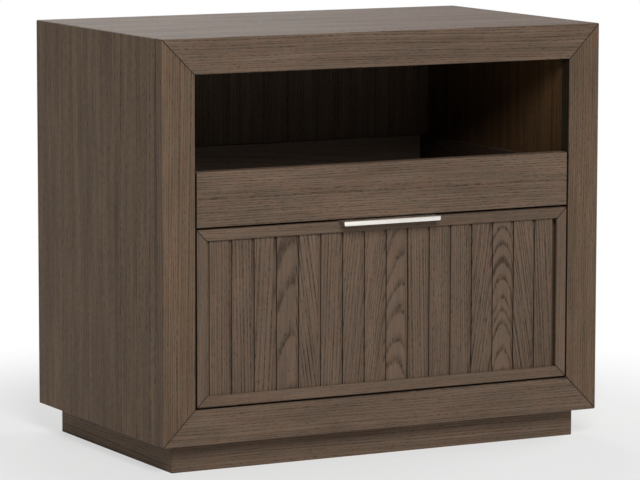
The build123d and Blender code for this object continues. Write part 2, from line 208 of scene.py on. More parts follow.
def makeStudio():
    world = bpy.data.worlds.new("studio")
    scene.world = world
    world.use_nodes = True
    tree = world.node_tree
    tree.nodes.clear()
    back = tree.nodes.new("ShaderNodeBackground")
    strength = remap(tree, seenDirectly(tree), 0, 1, studio["ambient"], 1.0, smooth=False)
    tree.links.new(strength, back.inputs["Strength"])
    out = tree.nodes.new("ShaderNodeOutputWorld")
    tree.links.new(back.outputs[0], out.inputs["Surface"])

    half = studio["floorHalf"]
    mesh = bpy.data.meshes.new("floor")
    corners = [(-half, -half, 0), (half, -half, 0), (half, half, 0), (-half, half, 0)]
    mesh.from_pydata(corners, [], [(0, 1, 2, 3)])
    floor = bpy.data.objects.new("floor", mesh)
    scene.collection.objects.link(floor)
    mesh.materials.append(floorPaint())

    for name, place, target, size, watts in studio["lamps"]:
        lamp = bpy.data.lights.new(name, "AREA")
        lamp.energy = watts
        lamp.size = size
        holder = bpy.data.objects.new(name, lamp)
        scene.collection.objects.link(holder)
        aim = (Vector(target) - Vector(place)).to_track_quat("-Z", "Y")
        holder.matrix_world = Matrix.Translation(place) @ aim.to_matrix().to_4x4()


def floorPaint():
    # near the object a plain pale floor that takes its shadow, further off the white surround
    material, tree, shader = newMaterial("paleFloor")
    shader.inputs["Base Color"].default_value = (*studio["floorColour"], 1)
    shader.inputs["Roughness"].default_value = studio["floorRoughness"]
    shader.inputs["Specular IOR Level"].default_value = studio["floorGloss"]
    distance = measure(tree, "LENGTH", objectPlace(tree))
    far = remap(tree, distance, studio["fadeStart"], studio["fadeEnd"], studio["nearWhite"], 1)
    white = tree.nodes.new("ShaderNodeEmission")
    mix = tree.nodes.new("ShaderNodeMixShader")
    tree.links.new(calc(tree, "MULTIPLY", far, seenDirectly(tree)), mix.inputs[0])
    tree.links.new(shader.outputs[0], mix.inputs[1])
    tree.links.new(white.outputs[0], mix.inputs[2])
    out = next(n for n in tree.nodes if n.type == "OUTPUT_MATERIAL")
    tree.links.new(mix.outputs[0], out.inputs["Surface"])
    return material


# Wood. The group cuts a board out of a round, leaning trunk: growth rings about a pith that
# lies across and behind the middle of the board's face. The board's length is along Z.

woodGrain = {
    "wanderSize": (0.09, 0.09, 0.5),      # slow bends of the rings
    "wander": 0.009,
    "ruffleSize": (0.010, 0.010, 0.05),   # their small unevenness
    "ruffle": 0.0011,
    "poreSize": (0.0009, 0.0009, 0.008),
    "fibreSize": (0.0017, 0.0017, 0.06),
    "streakSize": (0.014, 0.014, 0.26),
    "fadeSize": (0.015, 0.015, 0.06),     # where rings show more or less
    "mottleSize": (0.012, 0.012, 0.035),
    "patchSize": (0.06, 0.06, 0.20),
    "boardShift": (7.31, 3.77, 1.93),     # from one board's noise to the next one's
    "boardShade": (0.95, 1.05),
    "yearShift": 17.0,
    "wideYears": 1.8,                     # how far years widen and narrow in turn
    "wideYearsScale": 0.45,
    "earlyRise": (0.0, 0.10),             # parts of the year
    "earlyFall": (0.14, 0.60),
    "poreLimit": (0.64, 0.50),            # of the noise, in late and in early wood
    "poreEdge": 0.08,
    "ringShown": (0.15, 1.5),
    "fibreShade": (0.84, 1.14),
    "patchShade": (0.90, 1.10),
    "warmTint": (1.05, 0.985, 0.955),
    "coolTint": (0.955, 1.012, 1.02),
    "roughness": (0.52, 0.62),            # of late and of early wood
    "poreRoughness": 0.2,
    "fibreRoughness": 0.08,
    "earlySink": 0.00007,                 # heights and depths of the brushed face
    "fibreRise": 0.00008,
    "poreSink": 0.00014,
}


def makeWoodGroup():
    tree, given, out = newGroup("woodGrain", "ShaderNodeTree", [
        ("Place", "NodeSocketVector", None),
        ("Board", "NodeSocketFloat", 0.0),
        ("Ring Width", "NodeSocketFloat", 0.003),
        ("Pith Across", "NodeSocketFloat", 0.05),
        ("Pith Behind", "NodeSocketFloat", 0.05),
        ("Lean Across", "NodeSocketFloat", 0.0),
        ("Lean Behind", "NodeSocketFloat", 0.02),
        ("Ring Contrast", "NodeSocketFloat", 0.6),
        ("Pore Depth", "NodeSocketFloat", 0.7),
        ("Streak Depth", "NodeSocketFloat", 0.10),
        ("Light Colour", "NodeSocketColor", (0.2, 0.15, 0.1, 1)),
        ("Dark Colour", "NodeSocketColor", (0.1, 0.07, 0.05, 1)),
        ("Pore Colour", "NodeSocketColor", (0.03, 0.02, 0.015, 1)),
    ], [
        ("Colour", "NodeSocketColor"),
        ("Roughness", "NodeSocketFloat"),
        ("Height", "NodeSocketFloat"),
    ])
    place = given["Place"]
    board = given["Board"]
    shift = measure(tree, "MULTIPLY", join(tree, board, board, board), woodGrain["boardShift"])
    own = measure(tree, "ADD", place, shift)

    def field(label, detail=2.0, rough=0.5):
        return noise(tree, own, woodGrain[label], detail, rough)

    def swing(value, reach):
        return calc(tree, "MULTIPLY", calc(tree, "SUBTRACT", value, 0.5), reach)

    drift = calc(tree, "ADD", swing(field("wanderSize", detail=1.0), woodGrain["wander"]),
                 swing(field("ruffleSize"), woodGrain["ruffle"]))
    x, y, z = split(tree, place)

    def fromPith(value, offset, lean):
        leaned = calc(tree, "MULTIPLY_ADD", z, lean, offset)
        return calc(tree, "ADD", calc(tree, "SUBTRACT", value, leaned), drift)

    across = fromPith(x, given["Pith Across"], given["Lean Across"])
    behind = fromPith(y, given["Pith Behind"], given["Lean Behind"])
    years = calc(tree, "DIVIDE", measure(tree, "LENGTH", join(tree, across, behind)), given["Ring Width"])
    uneven = tree.nodes.new("ShaderNodeTexNoise")
    uneven.noise_dimensions = "1D"
    tree.links.new(calc(tree, "MULTIPLY_ADD", board, woodGrain["yearShift"], years), uneven.inputs["W"])
    uneven.inputs["Scale"].default_value = woodGrain["wideYearsScale"]
    years = calc(tree, "MULTIPLY_ADD", uneven.outputs["Fac"], woodGrain["wideYears"], years)
    season = calc(tree, "FRACT", years)

    # the year begins with a sharp row of open pores and closes into dense wood
    rise = remap(tree, season, *woodGrain["earlyRise"], 0, 1)
    early = calc(tree, "MULTIPLY", rise, remap(tree, season, *woodGrain["earlyFall"], 1, 0))
    pore = field("poreSize", rough=0.55)
    limit = remap(tree, early, 0, 1, *woodGrain["poreLimit"], smooth=False)
    poreMask = remap(tree, pore, limit, calc(tree, "ADD", limit, woodGrain["poreEdge"]), 0, 1)
    fibre = field("fibreSize", detail=3.0, rough=0.6)
    streak = field("streakSize", detail=3.0, rough=0.6)
    mottle = field("mottleSize", rough=0.6)
    patch = field("patchSize")

    shown = spread(tree, field("fadeSize"), *woodGrain["ringShown"])
    ringMask = calc(tree, "MULTIPLY", calc(tree, "MULTIPLY", early, given["Ring Contrast"]), shown)
    tone = mixColour(tree, ringMask, given["Light Colour"], given["Dark Colour"])
    each = tree.nodes.new("ShaderNodeTexWhiteNoise")
    each.noise_dimensions = "1D"
    tree.links.new(board, each.inputs["W"])
    shade = remap(tree, each.outputs["Value"], 0, 1, *woodGrain["boardShade"], smooth=False)
    for value, label in ((fibre, "fibreShade"), (patch, "patchShade")):
        shade = calc(tree, "MULTIPLY", shade, spread(tree, value, *woodGrain[label]))
    streaked = calc(tree, "MULTIPLY_ADD", spread(tree, streak, -1, 1), given["Streak Depth"], 1.0)
    tone = mixColour(tree, 1.0, tone, calc(tree, "MULTIPLY", shade, streaked), "MULTIPLY")
    tint = mixColour(tree, spread(tree, mottle, 0, 1), woodGrain["warmTint"], woodGrain["coolTint"])
    tone = mixColour(tree, 1.0, tone, tint, "MULTIPLY")
    pitted = calc(tree, "MULTIPLY", poreMask, given["Pore Depth"])
    tree.links.new(mixColour(tree, pitted, tone, given["Pore Colour"]), out["Colour"])

    rough = calc(tree, "MULTIPLY_ADD", poreMask, woodGrain["poreRoughness"],
                 remap(tree, early, 0, 1, *woodGrain["roughness"]))
    tree.links.new(calc(tree, "MULTIPLY_ADD", fibre, woodGrain["fibreRoughness"], rough), out["Roughness"])
    relief = calc(tree, "MULTIPLY_ADD", early, -woodGrain["earlySink"],
                  calc(tree, "MULTIPLY", fibre, woodGrain["fibreRise"]))
    tree.links.new(calc(tree, "MULTIPLY_ADD", poreMask, -woodGrain["poreSink"], relief), out["Height"])
    return tree


# Dark stain where boards meet, along a frame's mitres and in the seam behind it, and painted
# shade on the edges that face the narrow gaps round the drawers

jointStainAndGapShade = {
    "keep": 0.22,           # share of the wood's colour that the stain and the painted shade leave
    "halfWidth": 0.0004,
    "fade": 0.0006,
    "edgeReach": 0.0003,
    "edgeStart": 0.0004,    # behind the front
    "panelStrength": 0.5,
}


def makeJointGroup():
    tree, given, out = newGroup("jointStainAndGapShade", "ShaderNodeTree", [
        ("Place", "NodeSocketVector", None),
        ("Half Width", "NodeSocketFloat", 1.0),
        ("Low", "NodeSocketFloat", 0.0),
        ("High", "NodeSocketFloat", 0.6),
        ("Front", "NodeSocketFloat", 0.0),
        ("Rear", "NodeSocketFloat", 1.0),
        ("Edge Across", "NodeSocketFloat", 1.0),
        ("Edge Low", "NodeSocketFloat", -1.0),
        ("Edge High", "NodeSocketFloat", 1.0),
        ("Strength", "NodeSocketFloat", 1.0),
    ], [("Mask", "NodeSocketFloat")])
    x, y, z = split(tree, given["Place"])
    across = calc(tree, "ABSOLUTE", x)

    def apart(a, b):
        return calc(tree, "ABSOLUTE", calc(tree, "SUBTRACT", a, b))

    # mitres run at 45 degrees from the outline's corners, the seam behind the frame at its rear
    side = calc(tree, "SUBTRACT", given["Half Width"], across)
    end = calc(tree, "MINIMUM", calc(tree, "SUBTRACT", z, given["Low"]),
               calc(tree, "SUBTRACT", given["High"], z))
    mitre = calc(tree, "MULTIPLY", apart(side, end), math.sqrt(0.5))
    near = calc(tree, "MINIMUM", mitre, apart(y, given["Rear"]))
    width = jointStainAndGapShade["halfWidth"]
    seam = remap(tree, near, width, width + jointStainAndGapShade["fade"], 1, 0)

    # painted shade: edges that face a narrow gap are dark from just behind the front
    edge = calc(tree, "MINIMUM", apart(across, given["Edge Across"]),
                calc(tree, "MINIMUM", apart(z, given["Edge Low"]), apart(z, given["Edge High"])))
    atEdge = calc(tree, "LESS_THAN", edge, jointStainAndGapShade["edgeReach"])
    start = jointStainAndGapShade["edgeStart"]
    deep = remap(tree, calc(tree, "SUBTRACT", y, given["Front"]), 0.5 * start, start, 0, 1)
    both = calc(tree, "MAXIMUM", seam, calc(tree, "MULTIPLY", atEdge, deep))
    tree.links.new(calc(tree, "MULTIPLY", both, given["Strength"]), out["Mask"])
    return tree


def stained(values):
    # gives the function that adds the mask of dark joints and of painted gap shade to a wood material's
    # tree
    def stain(tree, place):
        made = tree.nodes.new("ShaderNodeGroup")
        made.node_tree = jointStainAndGapShadeGroup
        tree.links.new(objectPlace(tree), made.inputs["Place"])
        for label, value in values.items():
            made.inputs[label].default_value = value
        return made.outputs["Mask"]
    return stain


def findStains():
    # each node's values for its dark joints and painted gap shade, taken from the boxes of the frames and
    # fronts
    (low, inner), (_, high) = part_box("face_frame_left_stile"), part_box("face_frame_right_stile")
    outline = {"Half Width": high.x, "Low": low.z, "High": high.z, "Front": low.y, "Rear": high.y}
    opening = {"Edge Across": -inner.x, "Edge Low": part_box("face_frame_bottom_rail")[1].z,
               "Edge High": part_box("face_frame_top_rail")[0].z}
    parts = ("top_rail", "bottom_rail", "left_stile", "right_stile")
    found = {}
    for part in parts:
        # a stile has its edge at the side of the opening, a rail at its top or foot
        edges = [label for label in opening if (label == "Edge Across") == ("stile" in part)]
        found[f"face_frame_{part}"] = {**outline, **{label: opening[label] for label in edges}}
    for name in ("top_panel", "base_panel", "left_side_panel", "right_side_panel"):
        found[name] = {"Rear": high.y, "Strength": jointStainAndGapShade["panelStrength"]}
    (low, _), (_, high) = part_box("lower_front_left_stile"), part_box("lower_front_right_stile")
    for part in parts:
        found[f"lower_front_{part}"] = {
            "Half Width": high.x, "Low": low.z, "High": high.z, "Front": low.y,
            "Edge Across": high.x, "Edge Low": low.z, "Edge High": high.z}
    low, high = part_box("upper_drawer_front")
    found["upper_drawer_front"] = {"Front": low.y, "Edge Across": high.x, "Edge Low": low.z}
    return found


woods = {
    # light, dark and pore colours, gloss, strength of the brushed relief
    "greyOak": ((0.153, 0.104, 0.073), (0.075, 0.049, 0.033), (0.028, 0.019, 0.013), 0.17, 1.0),
    "liningOak": ((0.120, 0.080, 0.052), (0.052, 0.034, 0.022), (0.022, 0.014, 0.009), 0.17, 1.0),
    "sideOak": ((0.164, 0.106, 0.064), (0.072, 0.046, 0.028), (0.028, 0.019, 0.012), 0.17, 1.0),
    "stileOak": ((0.146, 0.096, 0.062), (0.068, 0.044, 0.028), (0.028, 0.019, 0.012), 0.17, 1.0),
    "warmOak": ((0.112, 0.060, 0.026), (0.046, 0.023, 0.010), (0.024, 0.012, 0.005), 0.17, 1.0),
    "boxWood": ((0.110, 0.072, 0.047), (0.070, 0.045, 0.029), (0.035, 0.022, 0.014), 0.4, 0.4),
    # a darker copy of the box wood, as painted shade on the drawers' sides and bottoms
    "boxWoodInPaintedShade": ((0.055, 0.037, 0.027), (0.036, 0.024, 0.018), (0.018, 0.012, 0.009), 0.1, 0.4),
    "paleWood": ((0.60, 0.42, 0.25), (0.42, 0.26, 0.13), (0.36, 0.22, 0.12), 0.35, 0.4),
}

# How a board is sawn, in metres from the middle of its face
sawn = {
    "straight": {"Pith Across": 0.30, "Pith Behind": 0.16, "Lean Across": 0.004, "Lean Behind": 0.01,
                 "Ring Width": 0.0034, "Ring Contrast": 0.40, "Pore Depth": 0.55, "Streak Depth": 0.14},
    "quiet": {"Pith Across": 0.30, "Pith Behind": 0.16, "Lean Across": 0.004, "Lean Behind": 0.01,
              "Ring Width": 0.0034, "Ring Contrast": 0.20, "Pore Depth": 0.32, "Streak Depth": 0.08},
    "rift": {"Pith Across": -0.9, "Pith Behind": 0.5, "Lean Across": 0.012, "Lean Behind": 0.01,
             "Ring Width": 0.0050, "Ring Contrast": 0.16, "Streak Depth": 0.30},
    "flat": {"Pith Across": 0.03, "Pith Behind": 0.09, "Lean Across": 0.0, "Lean Behind": 0.03,
             "Ring Width": 0.0032, "Ring Contrast": 0.6},
    "smooth": {"Pith Across": 0.03, "Pith Behind": 0.09, "Lean Across": 0.0, "Lean Behind": 0.03,
               "Ring Width": 0.0032, "Ring Contrast": 0.12, "Pore Depth": 0.3, "Streak Depth": 0.05},
}

axes = {"x": Vector((1, 0, 0)), "y": Vector((0, 1, 0)), "z": Vector((0, 0, 1))}


def woodMaterial(name, wood, length, behind, middle, board, cut, tune=None, stain=None):
    # length and behind name the axes along which the board runs and its thickness lies;
    # tune, if given, links more of the grain's inputs, and the last argument gives the mask of dark joints
    # and of painted shade
    material, tree, shader = newMaterial(name)
    grain = tree.nodes.new("ShaderNodeGroup")
    grain.node_tree = woodGroup
    turned = tree.nodes.new("ShaderNodeMapping")
    turn = Matrix((axes[behind].cross(axes[length]), axes[behind], axes[length]))
    turned.inputs["Rotation"].default_value = turn.to_euler()
    turned.inputs["Location"].default_value = -(turn @ middle)
    tree.links.new(objectPlace(tree), turned.inputs["Vector"])
    tree.links.new(turned.outputs[0], grain.inputs["Place"])
    grain.inputs["Board"].default_value = board
    light, dark, pore, gloss, relief = woods[wood]
    for label, tone in (("Light Colour", light), ("Dark Colour", dark), ("Pore Colour", pore)):
        feed(tree, tone, grain.inputs[label])
    for label, value in cut.items():
        grain.inputs[label].default_value = value
    if tune:
        tune(tree, grain, turned.outputs[0])
    colour = grain.outputs["Colour"]
    # dark joints and painted shade in gaps and grooves darken the wood's colour
    if stain:
        kept = remap(tree, stain(tree, turned.outputs[0]), 0, 1, 1, jointStainAndGapShade["keep"], smooth=False)
        colour = mixColour(tree, 1.0, colour, kept, "MULTIPLY")
    tree.links.new(colour, shader.inputs["Base Color"])
    tree.links.new(grain.outputs["Roughness"], shader.inputs["Roughness"])
    shader.inputs["Specular IOR Level"].default_value = gloss
    addBump(tree, shader, grain.outputs["Height"], relief)
    return material


# Each wooden node: its wood, the axes of its length and thickness, and how it is sawn
woodenNodes = {
    "top_panel": ("greyOak", "x", "z", "rift"),
    "base_panel": ("greyOak", "x", "z", "rift"),
    "left_side_panel": ("sideOak", "z", "x", "rift"),
    "right_side_panel": ("sideOak", "z", "x", "rift"),
    "face_frame_top_rail": ("greyOak", "x", "y", "straight"),
    "face_frame_bottom_rail": ("greyOak", "x", "y", "straight"),
    "face_frame_left_stile": ("stileOak", "z", "y", "straight"),
    "face_frame_right_stile": ("stileOak", "z", "y", "straight"),
    "plinth_front": ("greyOak", "x", "y", "straight"),
    "plinth_rear": ("greyOak", "x", "y", "straight"),
    "plinth_left": ("sideOak", "y", "x", "straight"),
    "plinth_right": ("sideOak", "y", "x", "straight"),
    "upper_drawer_front": ("greyOak", "x", "y", "straight"),
    "lower_front_top_rail": ("greyOak", "x", "y", "quiet"),
    "lower_front_bottom_rail": ("greyOak", "x", "y", "quiet"),
    "lower_front_left_stile": ("greyOak", "z", "y", "quiet"),
    "lower_front_right_stile": ("greyOak", "z", "y", "quiet"),
    "back_panel": ("liningOak", "z", "y", "rift"),
    "left_liner_panel": ("warmOak", "z", "x", "rift"),
    "right_liner_panel": ("warmOak", "z", "x", "rift"),
    "ceiling_panel": ("liningOak", "x", "z", "rift"),
    "floor_panel": ("liningOak", "x", "z", "rift"),
    "lower_front_backing": ("boxWood", "x", "y", "smooth"),
    "divider_rail": ("paleWood", "x", "z", "flat"),
    "core_battens": ("paleWood", "z", "x", "flat"),
    "plinth_corner_blocks": ("paleWood", "x", "z", "flat"),
}
for drawer in ("upper", "lower"):
    woodenNodes[f"{drawer}_drawer_box_front"] = ("boxWood", "x", "y", "smooth")
    woodenNodes[f"{drawer}_drawer_back"] = ("boxWood", "x", "y", "smooth")
    woodenNodes[f"{drawer}_drawer_left_side"] = ("boxWoodInPaintedShade", "y", "x", "smooth")
    woodenNodes[f"{drawer}_drawer_right_side"] = ("boxWoodInPaintedShade", "y", "x", "smooth")
    woodenNodes[f"{drawer}_drawer_bottom"] = ("boxWoodInPaintedShade", "x", "z", "smooth")


def finishNode(name, material):
    nodes[name].data.materials.clear()
    nodes[name].data.materials.append(material)


def finishWood():
    stainsAndGapShade = findStains()
    for board, (name, (wood, length, behind, cut)) in enumerate(woodenNodes.items(), 1):
        low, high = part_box(name)
        middle = (low + high) / 2
        label = wood + "".join(word.capitalize() for word in name.split("_"))
        stain = stained(stainsAndGapShade[name]) if name in stainsAndGapShade else None
        finishNode(name, woodMaterial(label, wood, length, behind, middle, board, sawn[cut], stain=stain))


# Metals and plastic

metals = {
    # colour, least and most roughness, size of the fine lines
    "satinNickel": ((0.80, 0.77, 0.72), (0.22, 0.36), (0.05, 0.0004, 0.0004)),
    "zincPlate": ((0.50, 0.51, 0.53), (0.24, 0.42), (0.004, 0.030, 0.004)),
    "screwZinc": ((0.46, 0.46, 0.47), (0.28, 0.45), (0.002, 0.002, 0.002)),
    "ballSteel": ((0.56, 0.56, 0.57), (0.12, 0.22), (0.001, 0.001, 0.001)),
}
metalFinish = {
    "cloudSize": (0.02, 0.02, 0.02),
    "lineShare": 0.6,            # of lines against clouds
    "shade": (0.90, 1.08),
    "lineHeight": 0.00001,
    "bump": 0.6,
}


def metalMaterial(name):
    colour, roughness, lineSize = metals[name]
    material, tree, shader = newMaterial(name)
    position = objectPlace(tree)
    lines = noise(tree, position, lineSize, detail=3.0, rough=0.6)
    cloud = noise(tree, position, metalFinish["cloudSize"])
    share = metalFinish["lineShare"]
    both = calc(tree, "MULTIPLY_ADD", lines, share, calc(tree, "MULTIPLY", cloud, 1 - share))
    tree.links.new(spread(tree, both, *roughness), shader.inputs["Roughness"])
    shade = spread(tree, both, *metalFinish["shade"])
    tree.links.new(mixColour(tree, 1.0, colour, shade, "MULTIPLY"), shader.inputs["Base Color"])
    shader.inputs["Metallic"].default_value = 1.0
    addBump(tree, shader, calc(tree, "MULTIPLY", lines, metalFinish["lineHeight"]), metalFinish["bump"])
    return material


plastic = {
    "colour": (0.030, 0.030, 0.032),
    "shade": (0.85, 1.2),
    "cloudSize": (0.01, 0.01, 0.01),
    "grainSize": (0.0006, 0.0006, 0.0006),
    "grainHeight": 0.00003,
    "roughness": (0.42, 0.58),
    "bump": 0.7,
}


def plasticMaterial():
    material, tree, shader = newMaterial("blackPlastic")
    position = objectPlace(tree)
    grain = noise(tree, position, plastic["grainSize"])
    shade = spread(tree, noise(tree, position, plastic["cloudSize"]), *plastic["shade"])
    tree.links.new(mixColour(tree, 1.0, plastic["colour"], shade, "MULTIPLY"), shader.inputs["Base Color"])
    tree.links.new(spread(tree, grain, *plastic["roughness"]), shader.inputs["Roughness"])
    addBump(tree, shader, calc(tree, "MULTIPLY", grain, plastic["grainHeight"]), plastic["bump"])
    return material


# Geometry Nodes helpers

def geo(tree, kind, **settings):
    made = tree.nodes.new("GeometryNode" + kind)
    for key, value in settings.items():
        setattr(made, key, value)
    return made


def chosen(tree, index, values):
    # the value of the list at the given index, as a field
    pick = geo(tree, "IndexSwitch", data_type="VECTOR")
    while len(pick.index_switch_items) < len(values):
        pick.index_switch_items.new()
    feed(tree, index, pick.inputs["Index"])
    for i, value in enumerate(values):
        feed(tree, value, pick.inputs[str(i)])
    return pick.outputs[0]


def named(tree, name, kind):
    made = geo(tree, "InputNamedAttribute", data_type=kind)
    made.inputs["Name"].default_value = name
    return made.outputs[0]


def stored(tree, geometry, name, kind, value):
    made = geo(tree, "StoreNamedAttribute", data_type=kind)
    made.inputs["Name"].default_value = name
    feed(tree, geometry, made.inputs["Geometry"])
    feed(tree, value, made.inputs["Value"])
    return made.outputs[0]


def moved(tree, geometry, position=None, offset=None):
    made = geo(tree, "SetPosition")
    tree.links.new(geometry, made.inputs["Geometry"])
    if position is not None:
        tree.links.new(position, made.inputs["Position"])
    if offset is not None:
        tree.links.new(offset, made.inputs["Offset"])
    return made.outputs[0]


def merged(tree, geometry):
    made = geo(tree, "MergeByDistance")
    tree.links.new(geometry, made.inputs["Geometry"])
    made.inputs["Distance"].default_value = weldDistance
    return made.outputs[0]


def joined(tree, *parts):
    made = geo(tree, "JoinGeometry")
    for part in reversed(parts):
        tree.links.new(part, made.inputs[0])
    return made.outputs[0]


def lathe(tree, outline, sides):
    # turns (radius, height) points, from the lower pole to the upper, about Z
    grid = geo(tree, "MeshGrid")
    grid.inputs["Vertices X"].default_value = sides + 1
    grid.inputs["Vertices Y"].default_value = len(outline)
    index = geo(tree, "InputIndex").outputs[0]
    row = calc(tree, "MODULO", index, len(outline))
    column = calc(tree, "FLOOR", calc(tree, "DIVIDE", calc(tree, "ADD", index, 0.5), len(outline)))
    points = [join(tree, radius, 0.0, height) for radius, height in outline]
    radius, _, height = split(tree, chosen(tree, row, points))
    angle = calc(tree, "MULTIPLY", column, 2 * math.pi / sides)
    place = join(tree, calc(tree, "MULTIPLY", radius, calc(tree, "COSINE", angle)),
                 calc(tree, "MULTIPLY", radius, calc(tree, "SINE", angle)), height)
    return merged(tree, moved(tree, grid.outputs[0], place))


def onPoints(tree, points, shape, rotation=None):
    made = geo(tree, "InstanceOnPoints")
    tree.links.new(points, made.inputs["Points"])
    tree.links.new(shape, made.inputs["Instance"])
    if rotation is not None:
        tree.links.new(rotation, made.inputs["Rotation"])
    return made.outputs[0]


def geometryGroup(name, sizes):
    inputs = [("Geometry", "NodeSocketGeometry", None)]
    inputs += [(label, "NodeSocketFloat", value) for label, value in sizes.items()]
    inputs += [("Material", "NodeSocketMaterial", None)]
    return newGroup(name, "GeometryNodeTree", inputs, [("Geometry", "NodeSocketGeometry")])


def finishTree(tree, out, geometry, material):
    # ends every tree: instances made real, material set
    real = geo(tree, "RealizeInstances")
    tree.links.new(geometry, real.inputs[0])
    paint = geo(tree, "SetMaterial")
    tree.links.new(real.outputs[0], paint.inputs["Geometry"])
    feed(tree, material, paint.inputs["Material"])
    tree.links.new(paint.outputs[0], out["Geometry"])


def pointCloud(name, points, attributes=()):
    # loose vertices with a value for each, as {attribute: (kind, values)}
    mesh = bpy.data.meshes.new(name)
    mesh.from_pydata(points, [], [])
    for label, (kind, values) in dict(attributes).items():
        layer = mesh.attributes.new(label, kind, "POINT")
        for item, value in zip(layer.data, values):
            if kind == "FLOAT_VECTOR":
                item.vector = value
            else:
                item.value = value
    holder = bpy.data.objects.new(name, mesh)
    scene.collection.objects.link(holder)
    return holder


def grow(name, holder, tree, values):
    # runs the tree on the points and gives back a plain mesh object
    modifier = holder.modifiers.new("grow", "NODES")
    modifier.node_group = tree
    sockets = {item.name: item.identifier for item in tree.interface.items_tree if item.in_out == "INPUT"}
    for label, value in values.items():
        modifier[sockets[label]] = value
    bpy.context.view_layer.update()
    ready = holder.evaluated_get(bpy.context.evaluated_depsgraph_get())
    mesh = bpy.data.meshes.new_from_object(ready)
    mesh.name = name
    bpy.data.objects.remove(holder)
    piece = bpy.data.objects.new(name, mesh)
    scene.collection.objects.link(piece)
    return piece


def attach(piece, body, slot, *replaced):
    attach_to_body(piece, body)
    if replaced:
        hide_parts(*replaced)


def smoothAll(piece, degrees=35):
    piece.data.shade_smooth()
    piece.data.set_sharp_from_angle(angle=math.radians(degrees))


def islands(name):
    # the separate solids of a CAD node, each as the places of its corners
    cloud = bmesh.new()
    cloud.from_mesh(nodes[name].data)
    bmesh.ops.remove_doubles(cloud, verts=cloud.verts, dist=weldDistance)
    waiting, found = set(cloud.verts), []
    for start in cloud.verts:
        if start not in waiting:
            continue
        waiting.discard(start)
        reached = [start]
        for vertex in reached:
            for edge in vertex.link_edges:
                other = edge.other_vert(vertex)
                if other in waiting:
                    waiting.discard(other)
                    reached.append(other)
        found.append([vertex.co.copy() for vertex in reached])
    cloud.free()
    return found


def extent(places):
    low = Vector([min(place[i] for place in places) for i in range(3)])
    high = Vector([max(place[i] for place in places) for i in range(3)])
    return low, high


# Slats of the lower front, from left to right, each out of its own board

slats = {
    "sizes": {
        "Pitch": 0.03544,
        "Groove": 0.0055,
        "Groove Depth": 0.003,
        "Thickness": 0.012,
        "Tongue": 0.005,
        "Lap": 0.003,
        "Play": 0.0002,
        "Edge Round": 0.0007,
    },
    "edgeSteps": 3,
    "paintedShadeWall": (0.15, 0.35, 0.95),    # shares of the groove's depth where the painted shade starts, is at full strength and ends
    "firstBoard": 100.0,
    # pith across and behind in mm, lean across and behind, ring width in mm, ring contrast
    "boards": [
        (300, 160, 0.00, 0.01, 3.6, 0.60),
        (-260, 180, -0.01, 0.01, 4.6, 0.60),
        (-200, 160, 0.06, 0.01, 6.0, 0.55),
        (7, 75, 0.00, 0.08, 5.5, 0.60),
        (-180, 70, -0.14, 0.02, 5.5, 0.80),
        (240, 160, 0.05, 0.01, 4.2, 0.60),
        (220, 120, 0.10, 0.02, 4.4, 0.50),
        (260, 120, 0.14, 0.01, 3.8, 0.60),
        (8, 62, 0.10, 0.11, 4.6, 0.50),
        (-300, 150, -0.01, 0.02, 4.4, 0.60),
        (300, 150, 0.01, 0.01, 3.2, 0.50),
        (-320, 160, 0.00, 0.02, 3.2, 0.50),
        (280, 120, 0.13, 0.01, 3.8, 0.65),
        (3, 48, 0.00, 0.12, 3.0, 0.68),
        (-220, 70, -0.17, 0.02, 4.6, 0.85),
        (-300, 150, -0.05, 0.01, 4.2, 0.60),
    ],
}


def slatTree():
    tree, given, out = geometryGroup("slatRow", {**slats["sizes"], "Height": 0.1})
    # outline of one slat seen from above, its face at y = 0 and its middle at x = 0
    width = calc(tree, "SUBTRACT", given["Pitch"], given["Groove"])
    right = calc(tree, "MULTIPLY", width, 0.5)
    left = calc(tree, "MULTIPLY", width, -0.5)
    seam = calc(tree, "SUBTRACT", left, given["Groove"])
    tip = calc(tree, "SUBTRACT", seam, given["Lap"])
    slot = calc(tree, "SUBTRACT", calc(tree, "SUBTRACT", right, given["Lap"]), given["Play"])
    front = given["Groove Depth"]
    rear = calc(tree, "ADD", front, given["Tongue"])
    back = given["Thickness"]
    corners = [(left, front), (tip, front), (tip, rear), (seam, rear), (seam, back), (right, back),
               (right, rear), (slot, rear), (slot, front), (right, front), (right, 0.0), (left, 0.0)]
    line = geo(tree, "MeshLine")
    line.inputs["Count"].default_value = len(corners)
    index = geo(tree, "InputIndex").outputs[0]
    outline = moved(tree, line.outputs[0], chosen(tree, index, [join(tree, x, y) for x, y in corners]))
    curve = geo(tree, "MeshToCurve")
    tree.links.new(outline, curve.inputs[0])
    closed = geo(tree, "SetSplineCyclic")
    closed.inputs["Cyclic"].default_value = True
    tree.links.new(curve.outputs[0], closed.inputs[0])
    eased = geo(tree, "FilletCurve", mode="POLY")
    eased.inputs["Count"].default_value = slats["edgeSteps"]
    tree.links.new(closed.outputs[0], eased.inputs["Curve"])
    atFace = calc(tree, "GREATER_THAN", index, len(corners) - 2.5)    # the outline's last two corners
    tree.links.new(calc(tree, "MULTIPLY", atFace, given["Edge Round"]), eased.inputs["Radius"])
    fill = geo(tree, "FillCurve", mode="NGONS")
    tree.links.new(eased.outputs[0], fill.inputs["Curve"])
    raised = geo(tree, "ExtrudeMesh", mode="FACES")
    tree.links.new(fill.outputs[0], raised.inputs["Mesh"])
    tree.links.new(join(tree, 0.0, 0.0, given["Height"]), raised.inputs["Offset"])
    raised.inputs["Individual"].default_value = False
    under = geo(tree, "FlipFaces")
    tree.links.new(fill.outputs[0], under.inputs[0])
    slat = merged(tree, joined(tree, raised.outputs[0], under.outputs[0]))
    finishTree(tree, out, onPoints(tree, given["Geometry"], slat), given["Material"])
    return tree


